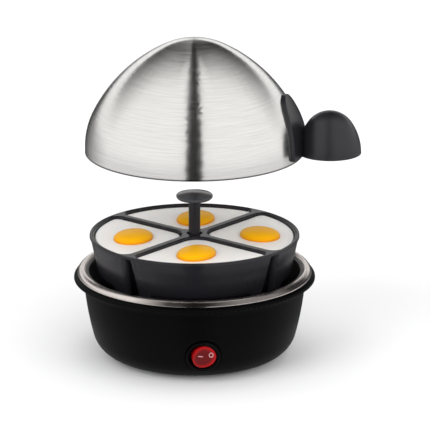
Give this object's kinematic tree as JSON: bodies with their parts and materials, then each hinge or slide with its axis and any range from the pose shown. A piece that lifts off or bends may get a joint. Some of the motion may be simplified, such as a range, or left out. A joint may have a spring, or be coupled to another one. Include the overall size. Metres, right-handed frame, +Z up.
{
  "type": "egg cooker",
  "caption": "Electric egg cooker with a domed steel lid, a poaching tray of wedge cups on a lifting stem, and a round heating base with a rocker switch.",
  "frame": {"origin": "on the cooker's upright axis, at the table", "axes": "+Z up, -Y to the front where the switch is, and +X to the right, near the lid's handle"},
  "size_m": [0.1926, 0.164, 0.2217],
  "materials": {
    "black_plastic": "satin",
    "inner_plastic": "matt",
    "switch_plastic": "gloss",
    "red_rocker": "gloss, translucent",
    "tray_plastic": "matt",
    "grey_plastic": "satin",
    "bakelite": "satin",
    "white_plastic": "satin",
    "ceramic": "glazed",
    "black_rubber": "matt",
    "brushed_steel": "brushed round the axis",
    "bright_steel": "polished",
    "plain_steel": "zinc plated",
    "cast_aluminium": "as cast",
    "brass": "plain",
    "woven_sleeve": "woven",
    "lamp_glass": "clear",
    "white_insulation": "silicone",
    "brown_insulation": "silicone",
    "blue_insulation": "silicone",
    "green_insulation": "silicone"
  },
  "bodies": {
    "base": {"housing": "black_plastic", "bottom_cover": "inner_plastic", "foot_ring": "black_rubber", "cover_screws": "plain_steel", "heating_bowl": "bright_steel", "rim_gasket": "black_rubber", "heat_plate": "cast_aluminium", "heating_element": "plain_steel", "element_insulators": "ceramic", "element_pins": "plain_steel", "bridge_bar": "plain_steel", "bridge_screws": "plain_steel", "stud_nuts": "plain_steel", "earth_tab": "brass", "thermostat": "bakelite", "thermostat_bracket": "plain_steel", "thermostat_screws": "plain_steel", "thermostat_blades": "brass", "thermal_fuse": "cast_aluminium", "fuse_sleeve": "woven_sleeve", "fuse_clip": "plain_steel", "fuse_screw": "plain_steel", "switch_body": "switch_plastic", "switch_lamp": "lamp_glass", "switch_blades": "brass", "cord_gland": "inner_plastic", "gland_nut": "inner_plastic", "terminal_block": "white_plastic", "clamp_screws": "brass", "wire_live": "brown_insulation", "wire_lamp": "blue_insulation", "wire_load": "white_insulation", "wire_fuse": "white_insulation", "wire_element": "white_insulation", "wire_neutral": "blue_insulation", "wire_earth": "green_insulation"},
    "tray": {"poaching_tray": "tray_plastic", "lifter_stem": "tray_plastic", "lifter_cap": "grey_plastic"},
    "lid": {"lid_dome": "brushed_steel", "lid_handle": "black_plastic", "handle_washers": "plain_steel", "handle_screws": "plain_steel"},
    "rocker": {"rocker": "red_rocker"}
  },
  "joints": [
    {"name": "tray_lift", "type": "slide", "parent": "base", "child": "tray", "axis": [0, 0, 1], "range_m": [-0.0136, 0.06]},
    {"name": "lid_lift", "type": "slide", "parent": "tray", "child": "lid", "axis": [0, 0, 1], "range_m": [-0.0693, 0.06]},
    {"name": "rocker_tilt", "type": "hinge", "parent": "base", "child": "rocker", "pos_m": [0, -0.06709, 0.02124], "axis": [0, 0.2371, -0.9715], "range_deg": [0, 18]}
  ]
}
